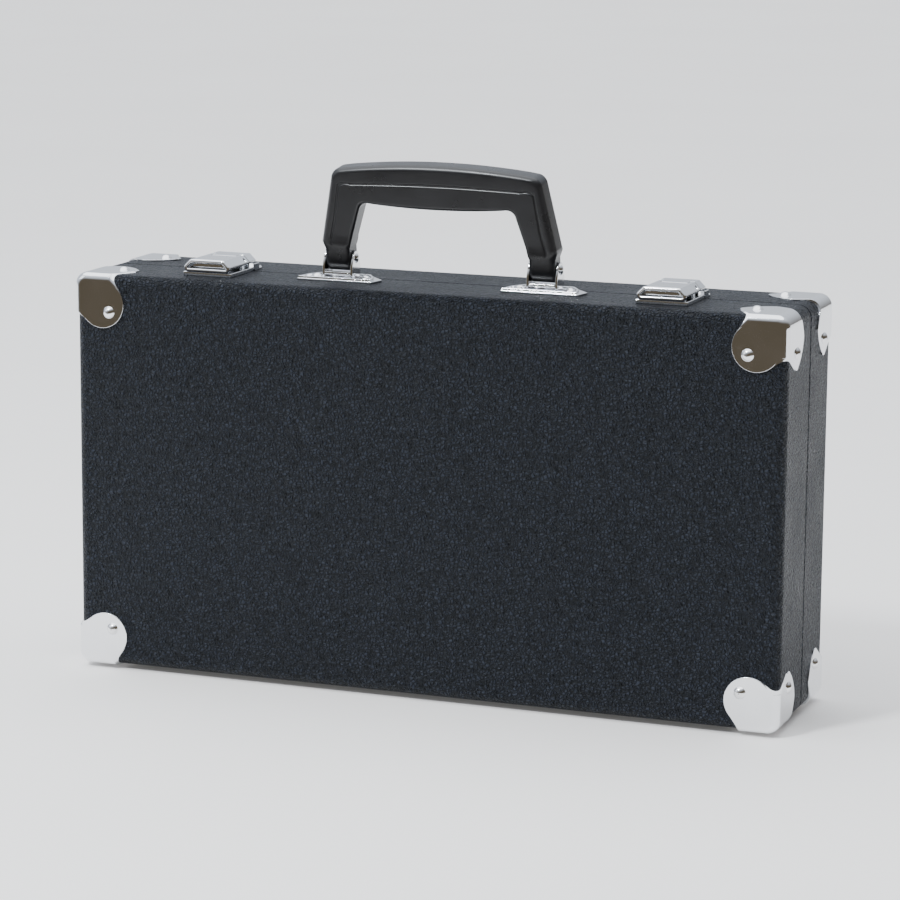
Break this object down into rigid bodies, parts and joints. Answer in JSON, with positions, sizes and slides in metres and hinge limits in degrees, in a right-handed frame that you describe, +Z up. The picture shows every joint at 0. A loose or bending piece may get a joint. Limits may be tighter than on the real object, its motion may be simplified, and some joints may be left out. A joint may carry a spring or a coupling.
{
  "type": "effects pedal carrying case",
  "caption": "Flat rectangular hard case with a hinged lid, a folding carrying handle, draw latches and pressed metal corners.",
  "frame": {"origin": "on the ground under the middle of the standing, closed case", "axes": "+X along the length, +Z up, -Y out of the big face of the base shell, the lid towards +Y"},
  "size_m": [0.456, 0.105, 0.3222],
  "materials": {
    "black_leatherette": "fine wrinkled grain, satin",
    "plywood": "raw sanded",
    "loop_carpet": "short loop pile",
    "black_lining": "napped felt",
    "foam": "profiled foam",
    "lip_plastic": "satin",
    "black_plastic": "satin moulded",
    "chrome_plate": "bright plated",
    "rivet_chrome": "bright plated",
    "nickel": "nickel plated",
    "steel": "plain"
  },
  "bodies": {
    "base": {"base_bottom_board": "plywood", "base_carpet": "loop_carpet", "base_covering": "black_leatherette", "base_left_board": "plywood", "base_lip": "lip_plastic", "base_panel": "plywood", "base_right_board": "plywood", "base_top_board": "plywood", "base_wall_lining": "black_lining", "corner_base_bottom_left": "chrome_plate", "corner_base_bottom_right": "chrome_plate", "corner_base_top_left": "chrome_plate", "corner_base_top_right": "chrome_plate", "corner_rivets_base": "rivet_chrome", "handle_clevis_left": "chrome_plate", "handle_clevis_right": "chrome_plate", "handle_pin_left": "chrome_plate", "handle_pin_right": "chrome_plate", "handle_plate_left": "chrome_plate", "handle_plate_right": "chrome_plate", "handle_rivets": "rivet_chrome", "hinge_left_base_leaf": "nickel", "hinge_left_pin": "steel", "hinge_right_base_leaf": "nickel", "hinge_right_pin": "steel", "hinge_rivets_base": "nickel", "latch_left_lever_pin": "steel", "latch_left_plate": "chrome_plate", "latch_right_lever_pin": "steel", "latch_right_plate": "chrome_plate", "latch_rivets": "rivet_chrome"},
    "lid": {"corner_lid_bottom_left": "chrome_plate", "corner_lid_bottom_right": "chrome_plate", "corner_lid_top_left": "chrome_plate", "corner_lid_top_right": "chrome_plate", "corner_rivets_lid": "rivet_chrome", "hinge_left_lid_leaf": "nickel", "hinge_right_lid_leaf": "nickel", "hinge_rivets_lid": "nickel", "keeper_rivets": "rivet_chrome", "latch_left_keeper": "chrome_plate", "latch_right_keeper": "chrome_plate", "lid_bottom_board": "plywood", "lid_covering": "black_leatherette", "lid_foam_pad": "foam", "lid_left_board": "plywood", "lid_panel": "plywood", "lid_right_board": "plywood", "lid_top_board": "plywood", "lid_wall_lining": "black_lining"},
    "handle": {"handle_core": "steel", "handle_grip": "black_plastic"},
    "latch_left_lever_body": {"latch_left_claw_pin": "steel", "latch_left_lever": "chrome_plate"},
    "latch_left_claw_body": {"latch_left_claw": "chrome_plate"},
    "latch_right_lever_body": {"latch_right_claw_pin": "steel", "latch_right_lever": "chrome_plate"},
    "latch_right_claw_body": {"latch_right_claw": "chrome_plate"}
  },
  "joints": [
    {"name": "lid_hinge", "type": "hinge", "parent": "base", "child": "lid", "pos_m": [0, 0.0025, 0.003], "axis": [-1, 0, 0], "range_deg": [0, 110]},
    {"name": "handle_fold", "type": "hinge", "parent": "base", "child": "handle", "pos_m": [0, -0.0095, 0.261], "axis": [1, 0, 0], "range_deg": [-100, 84]},
    {"name": "latch_left_release", "type": "hinge", "parent": "base", "child": "latch_left_lever_body", "pos_m": [-0.1445, -0.003, 0.2521], "axis": [-1, 0, 0], "range_deg": [0, 75]},
    {"name": "latch_left_claw_swing", "type": "hinge", "parent": "latch_left_lever_body", "child": "latch_left_claw_body", "pos_m": [-0.1445, -0.006, 0.2551], "axis": [-1, 0, 0], "range_deg": [-83, 0]},
    {"name": "latch_right_release", "type": "hinge", "parent": "base", "child": "latch_right_lever_body", "pos_m": [0.1445, -0.003, 0.2521], "axis": [-1, 0, 0], "range_deg": [0, 75]},
    {"name": "latch_right_claw_swing", "type": "hinge", "parent": "latch_right_lever_body", "child": "latch_right_claw_body", "pos_m": [0.1445, -0.006, 0.2551], "axis": [-1, 0, 0], "range_deg": [-83, 0]}
  ],
  "couplings": [
    {"joint": "latch_left_claw_swing", "follows": "latch_left_release", "ratio": -1.1},
    {"joint": "latch_right_claw_swing", "follows": "latch_right_release", "ratio": -1.1}
  ]
}
